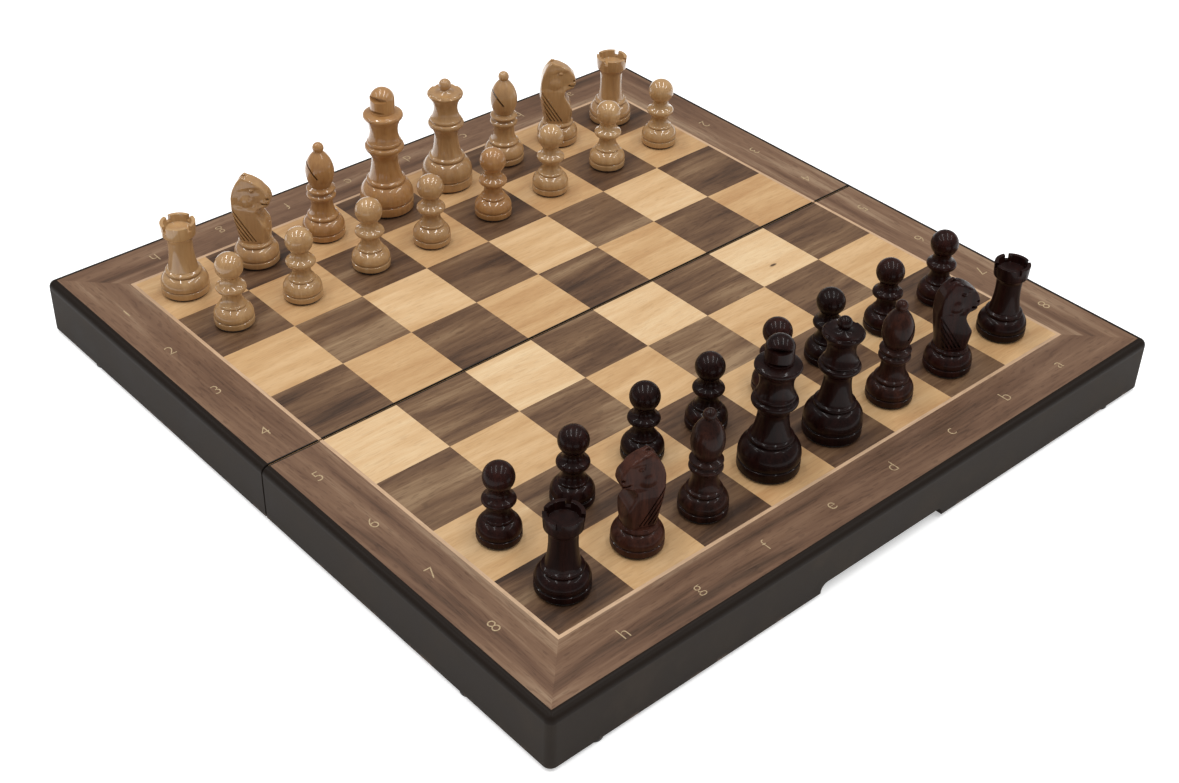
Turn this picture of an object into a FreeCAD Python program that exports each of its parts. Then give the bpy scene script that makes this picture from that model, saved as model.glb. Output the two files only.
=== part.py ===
import FreeCAD, Part
import math
import os

# Folding wooden chess board with its thirty-two turned men.
# The board is two shallow boxes, open underneath, hinged along the middle.
# Open, the two boxes lie side by side and their lids make the playing field.
# Closed, the rims meet, the field is outside and the hollow inside is the store.
# X runs from the a file to the h file, Y from White's side to Black's side,
# Z is up, and the origin is on the table under the middle of the open board.

# ---------------------------------------------------------------- board sizes
SQUARE = 39.5            # one square of the field
FILES = 8                # squares across the board
RANKS = 4                # squares down one half
FOLD_GAP = 1.0           # slit between the two open halves
STRING = 1.7             # pale strip around the field
BORDER = 25.8            # walnut border outside the strip
EDGE = 4.0               # lacquered lip outside the border
EDGE_ROUND = 3.6         # round on the lip and on the upright corners
WALL = 9.0               # thickness of the four rails of a half
FOOT = 2.0               # felt pads under the rims
VENEER = 0.6             # squares, strip and border
PANEL = 4.0              # plywood lid the veneer is glued to
TOP = 29.5               # playing surface above the table
LINING = 1.0             # felt under the lid
PAD_RADIUS = 4.0         # felt pad under a rail
PAD_CORNER = 20.0        # from a side of the board to the pads on the outer rail
PAD_ALONG = 0.75         # how far out from the fold the side pads sit, of the half's depth
PAD_SHIFT = 6.0          # each half's pads are moved this much, so they pass when shut
MAGNET_R = 3.0           # closing magnets in the outer rails
MAGNET_THICK = 2.0
MAGNET_X = (-75.0, 75.0)
NOTCH_HALF = 39.5        # half the length of the finger notch
NOTCH_HEIGHT = 4.6       # finger notch above the rim
NOTCH_ROUND = 3.8        # round at the two ends of the notch
PAST = 1.0               # how far a cut runs on past the wood

HALF_X = FILES / 2 * SQUARE + STRING + BORDER + EDGE
HALF_Y = FOLD_GAP / 2 + RANKS * SQUARE + STRING + BORDER + EDGE
RIM = FOOT
LEDGE = TOP - VENEER - PANEL     # what the lid sits on
INSIDE_X = HALF_X - WALL
INSIDE_Y = HALF_Y - WALL
FOLD_FACE = FOLD_GAP / 2
FOLD_BACK = FOLD_FACE + WALL
FIELD_X = FILES / 2 * SQUARE
FIELD_Y = FOLD_FACE + RANKS * SQUARE

# ---------------------------------------------------------------- hinge sizes
HINGE_X = 110.0          # the two hinges, left and right of the middle
KNUCKLE_R = 1.4
AXIS_Z = KNUCKLE_R       # the barrel just touches the table
PIN_R = 0.7
LEAF_THICK = KNUCKLE_R + AXIS_Z - RIM + 0.2
LEAF_HALF = 16.0         # half the length of a leaf
LEAF_REACH = 9.0         # far edge of a leaf from the fold line
KNUCKLE_HALF = 5.3       # half the middle knuckle
KNUCKLE_CLEAR = 0.15
SCREW_Y = 5.6
SCREW_STEP = 11.5
SCREW_R = 0.9
SCREW_HEAD_R = 1.8
SCREW_LONG = 7.0
SCREW_ROOM = 0.03        # room round a screw's shank
SEAT_ROOM = 0.1          # room round a screw's head
SLOT_DEEP = 0.35         # screwdriver slot
SLOT_HALF = 0.25
LEAF_ROOM = 0.05         # room round a leaf in its mortise
BARREL_ROOM = 0.4        # room round the barrel
PIN_HEAD = 0.6           # length of the low head at each end of a pin
PIN_HEAD_R = PIN_R + 0.4
PIN_ROOM = 0.02          # room round the pin in the knuckles
WEB = KNUCKLE_R + 0.3    # where the leaf's plate ends and its knuckles begin

# --------------------------------------------------------------- the men
FELT = 0.8               # felt disc under each man
STAND = TOP + FELT       # where the wood of a man begins
PAWN_FOOT = 9.7          # radius of each kind's foot
ROOK_FOOT = 11.7
KNIGHT_FOOT = 11.3
BISHOP_FOOT = 10.9
QUEEN_FOOT = 13.4
KING_FOOT = 13.9
RIM_PART = 0.32          # the rim's share of a foot's height
EAR_GAP = 1.8            # slot between a knight's ears
MANE_CUTS = 5            # chisel cuts on each side of a knight's neck
MANE_WIDE = 0.7
MANE_STEP = 2.27         # from one cut's lower end to the next
MANE_BACK = -9.4         # where the cuts start, at the back of the neck
MANE_SLOPE = 33.0        # degrees off upright

os.makedirs("parts", exist_ok=True)


def save(name, solids):
    """Write one part, as a single solid or as a group of separate solids."""
    shape = solids[0] if len(solids) == 1 else Part.makeCompound(solids)
    shape.exportStep("parts/" + name + ".step")


def block(x0, x1, y0, y1, z0, z1):
    """A box between two opposite corners."""
    return Part.makeBox(x1 - x0, y1 - y0, z1 - z0, FreeCAD.Vector(x0, y0, z0))


def rod(radius, length, x, y, z, direction):
    """A cylinder from a point along a direction."""
    return Part.makeCylinder(radius, length, FreeCAD.Vector(x, y, z), direction)


UP = FreeCAD.Vector(0, 0, 1)
ALONG_X = FreeCAD.Vector(1, 0, 0)


def plate(points, z0, z1):
    """A flat plate from an outline in plan."""
    corners = [FreeCAD.Vector(x, y, z0) for x, y in points]
    face = Part.Face(Part.makePolygon(corners + corners[:1]))
    return face.extrude(FreeCAD.Vector(0, 0, z1 - z0))


def turned_round(solids):
    """The same solids turned half a turn about the upright axis."""
    out = []
    for s in solids:
        c = s.copy()
        c.rotate(FreeCAD.Vector(0, 0, 0), UP, 180)
        out.append(c)
    return out


# ------------------------------------------------------------ the wooden case
def outer_block():
    """A half as one solid block with its rounded lip and corners."""
    body = block(-HALF_X, HALF_X, FOLD_FACE, HALF_Y, RIM, TOP)
    upright = []
    for e in body.Edges:
        box = e.BoundBox
        at_far_corner = box.YMin > HALF_Y - 0.01 and box.ZLength > 10
        if at_far_corner:
            upright.append(e)
    body = body.makeFillet(EDGE_ROUND, upright)
    lip = []
    for e in body.Edges:
        box = e.BoundBox
        on_top = box.ZMin > TOP - 0.01
        along_fold = box.YMax < FOLD_FACE + 0.01
        if on_top and not along_fold:
            lip.append(e)
    return body.makeFillet(EDGE_ROUND, lip)


def finger_notch():
    """The long shallow recess a fingertip opens the box by."""
    deep = block(-NOTCH_HALF, NOTCH_HALF, INSIDE_Y - PAST, HALF_Y + PAST,
                 RIM - NOTCH_HEIGHT, RIM + NOTCH_HEIGHT)
    ends = []
    for e in deep.Edges:
        box = e.BoundBox
        if box.ZMin > RIM + NOTCH_HEIGHT - 0.01 and box.YLength > WALL:
            ends.append(e)
    return deep.makeFillet(NOTCH_ROUND, ends)


def hinge_pocket(x):
    """The mortise in the fold rail for one leaf, its barrel and its screws."""
    long = LEAF_HALF + LEAF_ROOM
    leaf = block(x - long, x + long, FOLD_FACE - PAST, LEAF_REACH + LEAF_ROOM,
                 RIM - PAST, RIM + LEAF_THICK)
    long = LEAF_HALF + PIN_HEAD + BARREL_ROOM * 2
    barrel = block(x - long, x + long, FOLD_FACE - PAST, KNUCKLE_R + BARREL_ROOM,
                   RIM - PAST, AXIS_Z + KNUCKLE_R + BARREL_ROOM)
    pocket = leaf.fuse(barrel)
    for step in (-SCREW_STEP, 0, SCREW_STEP):
        hole = rod(SCREW_R + SCREW_ROOM, SCREW_LONG + PAST, x + step, SCREW_Y, RIM, UP)
        pocket = pocket.fuse(hole)
    return pocket


def rails():
    """The four walls of a half: outer rail, two side rails and the fold rail."""
    body = outer_block()
    hollow = block(-INSIDE_X, INSIDE_X, FOLD_BACK, INSIDE_Y, RIM - PAST, TOP + PAST)
    lid = block(-HALF_X + EDGE, HALF_X - EDGE, FOLD_FACE - PAST, HALF_Y - EDGE, LEDGE, TOP + PAST)
    frame = body.cut(hollow).cut(lid).cut(finger_notch())
    for x in (-HINGE_X, HINGE_X):
        frame = frame.cut(hinge_pocket(x))
    for x in MAGNET_X:
        frame = frame.cut(rod(MAGNET_R, MAGNET_THICK, x, HALF_Y - WALL / 2, RIM, UP))
    far = HALF_Y + WALL
    wide = HALF_X + WALL
    near = HALF_Y - WALL * 2
    inner = HALF_X - WALL * 2
    outer_wedge = plate([(-wide, far), (wide, far), (inner, near), (-inner, near)], 0, TOP + PAST)
    outer = frame.common(outer_wedge)
    rest = frame.cut(outer_wedge)
    middle = block(-INSIDE_X, INSIDE_X, FOLD_FACE - PAST, FOLD_BACK, 0, TOP + PAST)
    fold = rest.common(middle)
    sides = rest.cut(middle)
    return outer, sides, fold


def build_outer_rail():
    return rails()[0].Solids


def build_side_rails():
    return rails()[1].Solids


def build_fold_rail():
    return rails()[2].Solids


def build_lid():
    return [block(-HALF_X + EDGE, HALF_X - EDGE, FOLD_FACE, HALF_Y - EDGE, LEDGE, LEDGE + PANEL)]


def band(inner_x, inner_y, width):
    """Three mitred strips round the field, open towards the fold."""
    ox = inner_x + width
    oy = inner_y + width
    z0 = TOP - VENEER
    far = plate([(-ox, oy), (ox, oy), (inner_x, inner_y), (-inner_x, inner_y)], z0, TOP)
    right = plate([(inner_x, FOLD_FACE), (ox, FOLD_FACE), (ox, oy), (inner_x, inner_y)], z0, TOP)
    left = plate([(-inner_x, FOLD_FACE), (-ox, FOLD_FACE), (-ox, oy), (-inner_x, inner_y)], z0, TOP)
    return [far, right, left]


def build_border():
    return band(FIELD_X + STRING, FIELD_Y + STRING, BORDER)


def build_string():
    return band(FIELD_X, FIELD_Y, STRING)


def squares(dark):
    """The squares of Black's half; a8 is a light square."""
    tiles = []
    for file in range(FILES):
        for row in range(RANKS):
            is_dark = (file + row) % 2 == 0
            if is_dark != dark:
                continue
            x = -FIELD_X + file * SQUARE
            y = FOLD_FACE + row * SQUARE
            tiles.append(block(x, x + SQUARE, y, y + SQUARE, TOP - VENEER, TOP))
    return tiles


def build_dark_squares():
    return squares(True)


def build_light_squares():
    return squares(False)


def build_lining():
    return [block(-INSIDE_X, INSIDE_X, FOLD_BACK, INSIDE_Y, LEDGE - LINING, LEDGE)]


def build_magnets():
    y = HALF_Y - WALL / 2
    return [rod(MAGNET_R, MAGNET_THICK, x, y, RIM, UP) for x in MAGNET_X]


def pads(shift):
    """Felt pads; the two halves carry theirs a little apart so they pass when shut."""
    places = []
    for side in (-1, 1):
        places.append((side * (HALF_X - PAD_CORNER + shift), HALF_Y - WALL / 2))
        places.append((side * (HALF_X - WALL / 2), HALF_Y * PAD_ALONG + shift))
    return [rod(PAD_RADIUS, FOOT, x, y, 0, UP) for x, y in places]


# ------------------------------------------------------------------- hinges
def knuckles(x, own):
    """Lengths of barrel on one leaf: the outer two, or the one between them."""
    edge = KNUCKLE_HALF + KNUCKLE_CLEAR / 2
    if own == "outer":
        return ((x - LEAF_HALF, x - edge), (x + edge, x + LEAF_HALF))
    return ((x - KNUCKLE_HALF + KNUCKLE_CLEAR / 2, x + KNUCKLE_HALF - KNUCKLE_CLEAR / 2),)


def leaf(x, own):
    """One brass leaf let into a fold rail, with its share of the barrel."""
    z1 = RIM + LEAF_THICK
    shape = block(x - LEAF_HALF, x + LEAF_HALF, WEB, LEAF_REACH, RIM, z1)
    for x0, x1 in knuckles(x, own):
        shape = shape.fuse(block(x0, x1, 0, WEB, RIM, z1))
        shape = shape.fuse(rod(KNUCKLE_R, x1 - x0, x0, 0, AXIS_Z, ALONG_X))
    running = PIN_R + PIN_ROOM
    shape = shape.cut(rod(running, 3 * LEAF_HALF, x - 1.5 * LEAF_HALF, 0, AXIS_Z, ALONG_X))
    for step in (-SCREW_STEP, 0, SCREW_STEP):
        seat = Part.makeCone(SCREW_HEAD_R + SEAT_ROOM, SCREW_R + SEAT_ROOM, LEAF_THICK,
                             FreeCAD.Vector(x + step, SCREW_Y, RIM), UP)
        shape = shape.cut(seat)
    return shape.removeSplitter()


def screw(x):
    """A small countersunk wood screw with a straight slot, driven up into the rail."""
    head = Part.makeCone(SCREW_HEAD_R, SCREW_R, LEAF_THICK, FreeCAD.Vector(x, SCREW_Y, RIM), UP)
    shank = rod(SCREW_R, SCREW_LONG - LEAF_THICK, x, SCREW_Y, RIM + LEAF_THICK, UP)
    slot = block(x - SCREW_HEAD_R, x + SCREW_HEAD_R, SCREW_Y - SLOT_HALF, SCREW_Y + SLOT_HALF,
                 RIM - PAST, RIM + SLOT_DEEP)
    return head.fuse(shank).cut(slot)


def screws():
    made = []
    for x in (-HINGE_X, HINGE_X):
        for step in (-SCREW_STEP, 0, SCREW_STEP):
            made.append(screw(x + step))
    return made


def pins():
    """The two hinge pins, each with a low head at both ends."""
    made = []
    for x in (-HINGE_X, HINGE_X):
        pin = rod(PIN_R, 2 * LEAF_HALF, x - LEAF_HALF, 0, AXIS_Z, ALONG_X)
        for end in (x - LEAF_HALF - PIN_HEAD, x + LEAF_HALF):
            pin = pin.fuse(rod(PIN_HEAD_R, PIN_HEAD, end, 0, AXIS_Z, ALONG_X))
        made.append(pin)
    return made


def write_board():
    """Everything on the board is made for Black's half and turned round for White's."""
    builders = {
        "outer_rail": build_outer_rail,
        "side_rails": build_side_rails,
        "fold_rail": build_fold_rail,
        "lid_panel": build_lid,
        "walnut_border": build_border,
        "maple_stringing": build_string,
        "dark_squares": build_dark_squares,
        "light_squares": build_light_squares,
        "felt_lining": build_lining,
        "closing_magnets": build_magnets,
        "hinge_screws": screws,
    }
    for name, build in builders.items():
        solids = build()
        save("black_" + name, solids)
        save("white_" + name, turned_round(solids))
    save("black_felt_feet", pads(-PAD_SHIFT))
    save("white_felt_feet", turned_round(pads(PAD_SHIFT)))
    save("black_hinge_leaves", [leaf(x, "middle") for x in (-HINGE_X, HINGE_X)])
    save("white_hinge_leaves", turned_round([leaf(x, "outer") for x in (-HINGE_X, HINGE_X)]))
    save("hinge_pins", pins())


# ------------------------------------------------------------ turning the men
def lathe(steps):
    """A turned solid from steps out from the axis and up, in mm.

    (r, z) is a straight cut to that place; (rm, zm, r, z) is a round cut
    that passes through the first place and ends at the second.
    """
    at = FreeCAD.Vector(0, 0, steps[0][1])
    edges = []
    for step in steps + [(0, steps[-1][-1])]:
        end = FreeCAD.Vector(step[-2], 0, step[-1])
        if (end - at).Length < 1e-6:
            continue
        if len(step) == 2:
            edges.append(Part.makeLine(at, end))
        else:
            through = FreeCAD.Vector(step[0], 0, step[1])
            edges.append(Part.Arc(at, through, end).toShape())
        at = end
    edges.append(Part.makeLine(at, FreeCAD.Vector(0, 0, steps[0][1])))
    face = Part.Face(Part.Wire(edges))
    return face.revolve(FreeCAD.Vector(0, 0, 0), UP, 360)


def foot_steps(r, shoulder_r, shoulder_z):
    """The base every man shares: a disc, a fine groove and a round shoulder."""
    return [
        (r - 0.6, 0),
        (r, 0.6),
        (r, RIM_PART * shoulder_z + 0.1),
        (r - 0.7, RIM_PART * shoulder_z + 0.4),
        (r - 0.7, RIM_PART * shoulder_z + 0.8),
        (r - 0.1, RIM_PART * shoulder_z + 1.1),
        (r - 0.5, 0.72 * shoulder_z, shoulder_r, shoulder_z),
    ]


def ball_steps(radius, centre_z, neck_r):
    """A ball standing on a neck, cut true to its centre."""
    neck_z = centre_z - math.sqrt(radius ** 2 - neck_r ** 2)
    return [(neck_r, neck_z), (radius, centre_z, 0, centre_z + radius)]


def dome_steps(radius, edge_z, top_z):
    """A low dome over a straight post."""
    rise = top_z - edge_z
    ball = (radius ** 2 + rise ** 2) / (2 * rise)
    half = math.asin(radius / ball) / 2
    return [(radius, edge_z), (ball * math.sin(half), top_z - ball * (1 - math.cos(half)), 0, top_z)]


def pawn():
    """Ball head, thick collar, waisted stem."""
    ball = ball_steps(6.8, 31.0, 4.3)
    return lathe(foot_steps(PAWN_FOOT, 6.9, 9.4) + [
        (6.3, 9.7),
        (6.6, 10.4, 6.1, 11.1),
        (4.8, 13.6, 4.6, 16.0),
        (5.2, 17.4, 6.7, 18.2),
        (7.3, 19.6, 6.6, 21.0),
        (5.2, 21.9),
        (4.4, 23.6, *ball[0]),
    ] + ball[1:])


def rook(turn):
    """Straight tower with a hollow, slotted top."""
    tower = lathe(foot_steps(ROOK_FOOT, 8.9, 10.0) + [
        (8.2, 10.3),
        (8.9, 11.3, 8.4, 12.2),
        (7.4, 12.6),
        (6.3, 19.0, 6.1, 27.8),
        (6.6, 30.0, 8.1, 31.6),
        (8.5, 38.2),
        (6.7, 38.2),
        (6.3, 34.4),
    ])
    slot_bottom = 35.6
    slot_half = 1.15
    for angle in (0, 90):
        slot = block(-ROOK_FOOT, ROOK_FOOT, -slot_half, slot_half, slot_bottom, slot_bottom + 6)
        slot.rotate(FreeCAD.Vector(0, 0, 0), UP, turn + angle)
        tower = tower.cut(slot)
    return tower


def bishop(turn):
    """Mitre head with a slanting saw cut and a small ball on top."""
    ball = ball_steps(2.9, 49.2, 2.3)
    body = lathe(foot_steps(BISHOP_FOOT, 8.2, 9.8) + [
        (7.6, 10.1),
        (8.1, 11.1, 7.6, 12.0),
        (6.9, 12.4),
        (5.8, 15.8, 5.6, 19.6),
        (6.0, 21.2, 7.1, 22.0),
        (7.4, 22.9, 7.0, 23.8),
        (6.2, 24.3),
        (6.0, 25.0, 6.4, 25.6),
        (7.1, 25.9),
        (7.3, 26.6, 6.9, 27.2),
        (4.9, 28.0),
        (7.3, 36.6, *ball[0]),
    ] + ball[1:])
    slit = block(-0.45, 0.45, -BISHOP_FOOT, BISHOP_FOOT, -9.5, 9.5)
    slit.rotate(FreeCAD.Vector(0, 0, 0), FreeCAD.Vector(0, 1, 0), 38)
    slit.translate(FreeCAD.Vector(6.3, 0, 42.2))
    slit.rotate(FreeCAD.Vector(0, 0, 0), UP, turn)
    return body.cut(slit)


def queen():
    """Flared coronet with a scalloped edge and a ball."""
    ball = ball_steps(3.3, 57.2, 2.4)
    body = lathe(foot_steps(QUEEN_FOOT, 10.0, 14.4) + [
        (9.1, 14.7),
        (9.6, 15.7, 9.1, 16.7),
        (8.2, 17.1),
        (6.8, 22.5, 6.2, 28.5),
        (7.0, 31.6, 9.0, 34.2),
        (9.5, 35.4, 9.0, 36.6),
        (8.0, 37.0),
        (8.4, 37.9, 7.9, 38.8),
        (6.3, 44.2, 9.1, 51.2),
        (9.5, 52.4),
        (8.6, 53.6),
        (5.2, 53.3, *ball[0]),
    ] + ball[1:])
    points = 9
    scoop_out = 9.6
    for i in range(points):
        angle = 2 * math.pi * i / points
        centre = FreeCAD.Vector(scoop_out * math.cos(angle), scoop_out * math.sin(angle), 54.3)
        body = body.cut(Part.makeSphere(1.9, centre))
    return body


def king(turn):
    """Flared collar carrying a stub cut to a plain cross."""
    body = lathe(foot_steps(KING_FOOT, 10.6, 14.8) + [
        (9.7, 15.1),
        (10.2, 16.2, 9.7, 17.3),
        (8.9, 17.7),
        (7.4, 23.5, 6.8, 29.4),
        (7.8, 31.6, 9.7, 34.2),
        (10.2, 35.5, 9.7, 36.8),
        (8.5, 37.2),
        (9.0, 38.3, 8.4, 39.4),
        (7.3, 44.6, 9.8, 52.0),
        (10.3, 53.2, 9.8, 54.2),
        (6.9, 55.2),
    ])
    stub = lathe([(6.3, 54.5)] + dome_steps(6.3, 63.4, 68.2))
    outline = [
        (-6.9, 54.5), (-6.9, 55.4), (-4.4, 56.6), (-6.9, 57.8), (-6.9, 62.0), (-3.4, 63.0),
        (-3.4, 64.0), (-5.6, 65.2), (-5.6, 69.0),
        (5.6, 69.0), (5.6, 65.2), (3.4, 64.0), (3.4, 63.0), (6.9, 62.0), (6.9, 57.8),
        (4.4, 56.6), (6.9, 55.4), (6.9, 54.5),
    ]
    corners = [FreeCAD.Vector(-10, y, z) for y, z in outline]
    cross = Part.Face(Part.makePolygon(corners + corners[:1])).extrude(FreeCAD.Vector(20, 0, 0))
    stub = stub.common(cross)
    stub.rotate(FreeCAD.Vector(0, 0, 0), UP, turn)
    return body.fuse(stub)


def spline(points):
    """A smooth edge in the upright plane through places (u, z)."""
    curve = Part.BSplineCurve()
    curve.interpolate([FreeCAD.Vector(u, 0, z) for u, z in points])
    return curve.toShape()


def straight(a, b):
    """A straight edge in the upright plane."""
    return Part.makeLine(FreeCAD.Vector(a[0], 0, a[1]), FreeCAD.Vector(b[0], 0, b[1]))


def knight(turn):
    """Horse's head and neck on a turned base; it looks along +X before turning."""
    base = lathe(foot_steps(KNIGHT_FOOT, 8.6, 9.8) + [
        (8.0, 10.1),
        (8.7, 11.0, 8.2, 11.9),
        (7.9, 12.4),
    ])
    back = [(-7.6, 12.0), (-8.9, 18.0), (-9.8, 25.5), (-9.9, 32.0), (-8.6, 40.0), (-4.8, 46.2)]
    ear = (-3.2, 48.0)
    brow = [(-1.8, 46.8), (2.4, 45.5), (6.2, 42.4), (8.4, 38.8)]
    nose = [(8.4, 38.8), (8.9, 35.8), (7.9, 33.2), (5.8, 32.4)]
    jaw = [(5.8, 32.4), (4.2, 31.8), (3.4, 30.0), (4.3, 26.6), (7.0, 22.4), (8.0, 17.0)]
    chest = (7.4, 12.0)
    edges = [
        spline(back), straight(back[-1], ear), straight(ear, brow[0]), spline(brow),
        spline(nose), spline(jaw), straight(jaw[-1], chest), straight(chest, back[0]),
    ]
    side = Part.Face(Part.Wire(edges))
    head = side.extrude(FreeCAD.Vector(0, 20, 0))
    head.translate(FreeCAD.Vector(0, -10, 0))
    widths = [(6.0, 12.0), (6.3, 17.0), (5.5, 27.0), (4.9, 35.0), (4.0, 43.0), (2.7, 50.6)]
    right = [FreeCAD.Vector(-20, w, z) for w, z in widths]
    left = [FreeCAD.Vector(-20, -w, z) for w, z in reversed(widths)]
    front = Part.Face(Part.makePolygon(right + left + right[:1]))
    head = head.common(front.extrude(FreeCAD.Vector(40, 0, 0)))
    rounding = lathe([(7.9, 11.9), (8.0, 14.0), (8.7, 19.0), (9.6, 24.0), (10.4, 30.0), (10.4, 51.0)])
    head = head.common(rounding)
    between_ears = block(-9.5, 0.2, -EAR_GAP / 2, EAR_GAP / 2, 45.2, 52)
    head = head.cut(between_ears)
    for side_sign in (-1, 1):
        for i in range(MANE_CUTS):
            low_end = 1.0 - MANE_STEP * i
            long = (low_end - MANE_BACK) / math.sin(math.radians(MANE_SLOPE))
            strand = block(-MANE_WIDE / 2, MANE_WIDE / 2, -0.9, 0.9, 0, long)
            strand.rotate(FreeCAD.Vector(0, 0, 0), FreeCAD.Vector(0, 1, 0), -MANE_SLOPE)
            strand.translate(FreeCAD.Vector(low_end, side_sign * 6.0, 13.7))
            head = head.cut(strand)
        eye = Part.makeSphere(1.1, FreeCAD.Vector(2.6, side_sign * 5.2, 39.8))
        head = head.cut(eye)
        mouth = block(5.6, 9.8, side_sign * 5 - 1.6, side_sign * 5 + 1.6, 34.2, 34.7)
        head = head.cut(mouth)
    man = base.fuse(head)
    man.rotate(FreeCAD.Vector(0, 0, 0), UP, turn)
    return man


def felt_disc(radius):
    """The felt glued under a man."""
    return rod(radius, FELT, 0, 0, -FELT, UP)


def place(name, solid, base_radius, file, rank):
    """Stand a man on its square, with its felt."""
    off_x, off_y = STRAY[name]
    x = (file - (FILES - 1) / 2) * SQUARE + off_x
    row = rank - RANKS - 0.5
    y = row * SQUARE + math.copysign(FOLD_GAP / 2, row) + off_y
    parts = []
    for s in (solid, felt_disc(base_radius - 1.0)):
        c = s.copy()
        c.translate(FreeCAD.Vector(x, y, STAND))
        parts.append(c)
    save(name, parts)


# Which way each carved or cut man is turned, in degrees from the a-to-h direction.
TURN = {
    "white_rook_a": 25, "white_rook_h": 10, "black_rook_a": 60, "black_rook_h": 35,
    "white_knight_b": 142, "white_knight_g": 132, "black_knight_b": 150, "black_knight_g": -20,
    "white_bishop_c": -35, "white_bishop_f": -40, "black_bishop_c": 165, "black_bishop_f": 200,
    "white_king": -72, "black_king": -50,
}
FILE_NAMES = "abcdefgh"

# How far each man stands from the middle of its square, as a hand leaves it, in mm.
STRAY = {
    "white_rook_a": (1.5, 0.5), "white_knight_b": (1.5, 0.2), "white_bishop_c": (-1.0, -1.5),
    "white_queen": (-1.0, -1.2), "white_king": (-0.8, -1.5), "white_bishop_f": (0.8, 0.0),
    "white_knight_g": (1.0, -0.8), "white_rook_h": (3.2, 0.0),
    "white_pawn_a": (-1.0, -1.0), "white_pawn_b": (-1.0, -0.5), "white_pawn_c": (0.8, 0.0),
    "white_pawn_d": (0.5, 0.0), "white_pawn_e": (2.2, 1.2), "white_pawn_f": (-0.2, 0.0),
    "white_pawn_g": (1.8, 1.0), "white_pawn_h": (0.0, -1.0),
    "black_rook_a": (-0.8, 0.5), "black_knight_b": (2.2, 2.2), "black_bishop_c": (2.0, 0.5),
    "black_queen": (1.2, 0.5), "black_king": (1.5, -0.2), "black_bishop_f": (3.8, 2.0),
    "black_knight_g": (0.0, 0.0), "black_rook_h": (1.0, 0.2),
    "black_pawn_a": (1.0, 1.8), "black_pawn_b": (1.0, 1.5), "black_pawn_c": (2.0, 0.5),
    "black_pawn_d": (-1.0, 1.5), "black_pawn_e": (1.5, 1.0), "black_pawn_f": (-1.5, -1.5),
    "black_pawn_g": (2.0, 1.5), "black_pawn_h": (1.0, 0.0),
}


def write_men():
    for colour, home, front in (("white", 1, 2), ("black", 8, 7)):
        for file in range(FILES):
            letter = FILE_NAMES[file]
            place(f"{colour}_pawn_{letter}", pawn(), PAWN_FOOT, file, front)
        for letter in "ah":
            name = f"{colour}_rook_{letter}"
            place(name, rook(TURN[name]), ROOK_FOOT, FILE_NAMES.index(letter), home)
        for letter in "bg":
            name = f"{colour}_knight_{letter}"
            place(name, knight(TURN[name]), KNIGHT_FOOT, FILE_NAMES.index(letter), home)
        for letter in "cf":
            name = f"{colour}_bishop_{letter}"
            place(name, bishop(TURN[name]), BISHOP_FOOT, FILE_NAMES.index(letter), home)
        place(f"{colour}_queen", queen(), QUEEN_FOOT, FILE_NAMES.index("d"), home)
        name = f"{colour}_king"
        place(name, king(TURN[name]), KING_FOOT, FILE_NAMES.index("e"), home)


write_board()
write_men()
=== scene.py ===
# %% [markdown]
# # A folding chess board and its men
# The board is two shallow boxes hinged along the middle. The lids carry walnut and maple
# veneer, the rails are lacquered black, and thirty-two turned and carved men stand on top.
# We keep the parts whose shape is right, give them real finishes, and turn our own, finer
# men.

# %% Load the frame and note its box
import math
import bpy
from mathutils import Matrix, Vector


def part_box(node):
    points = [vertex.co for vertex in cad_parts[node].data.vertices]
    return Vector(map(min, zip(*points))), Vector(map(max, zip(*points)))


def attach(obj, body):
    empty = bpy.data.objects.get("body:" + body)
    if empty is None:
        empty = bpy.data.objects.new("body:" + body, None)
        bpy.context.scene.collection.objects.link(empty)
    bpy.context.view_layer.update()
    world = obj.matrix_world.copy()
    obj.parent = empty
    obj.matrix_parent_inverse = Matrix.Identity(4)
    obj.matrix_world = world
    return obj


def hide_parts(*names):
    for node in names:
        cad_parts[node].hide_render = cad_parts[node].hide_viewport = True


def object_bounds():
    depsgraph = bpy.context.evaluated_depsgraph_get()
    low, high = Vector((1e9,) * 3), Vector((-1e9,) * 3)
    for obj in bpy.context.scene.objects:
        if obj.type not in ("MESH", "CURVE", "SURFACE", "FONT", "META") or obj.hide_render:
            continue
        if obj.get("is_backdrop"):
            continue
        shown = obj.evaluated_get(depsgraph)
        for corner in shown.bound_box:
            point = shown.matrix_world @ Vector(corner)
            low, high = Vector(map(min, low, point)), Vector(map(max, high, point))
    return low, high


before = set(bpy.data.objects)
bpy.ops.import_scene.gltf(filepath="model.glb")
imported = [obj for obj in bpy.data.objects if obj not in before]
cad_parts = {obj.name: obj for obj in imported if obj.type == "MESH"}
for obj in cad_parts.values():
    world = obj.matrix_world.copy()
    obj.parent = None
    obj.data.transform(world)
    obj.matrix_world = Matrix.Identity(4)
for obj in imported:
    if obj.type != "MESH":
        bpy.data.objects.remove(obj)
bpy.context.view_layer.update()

bpy.ops.object.select_all(action="DESELECT")

# %% [markdown]
# Sizes are written in millimetres, as a maker would, and turned to metres by one factor.
# The playing surface and the squares come from the frame, so nothing has to be fitted.

# %% Sizes the whole lesson uses
MM = 0.001
square_low, square_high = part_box("black_dark_squares")
surface = square_high.z
square = (square_high.x - square_low.x) / 8
fold_gap = 2 * square_low.y
felt_thick = 0.8
print("square", round(square / MM, 2), "mm, playing surface", round(surface / MM, 2), "mm")

# %% [markdown]
# ## The camera
# The viewer stands behind Black's h corner and looks down across the board at about 37
# degrees. The camera is set by where it stands, the spot on the board it looks at, and a
# small tilt of the head. It comes first because every finish is judged through it.

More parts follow.
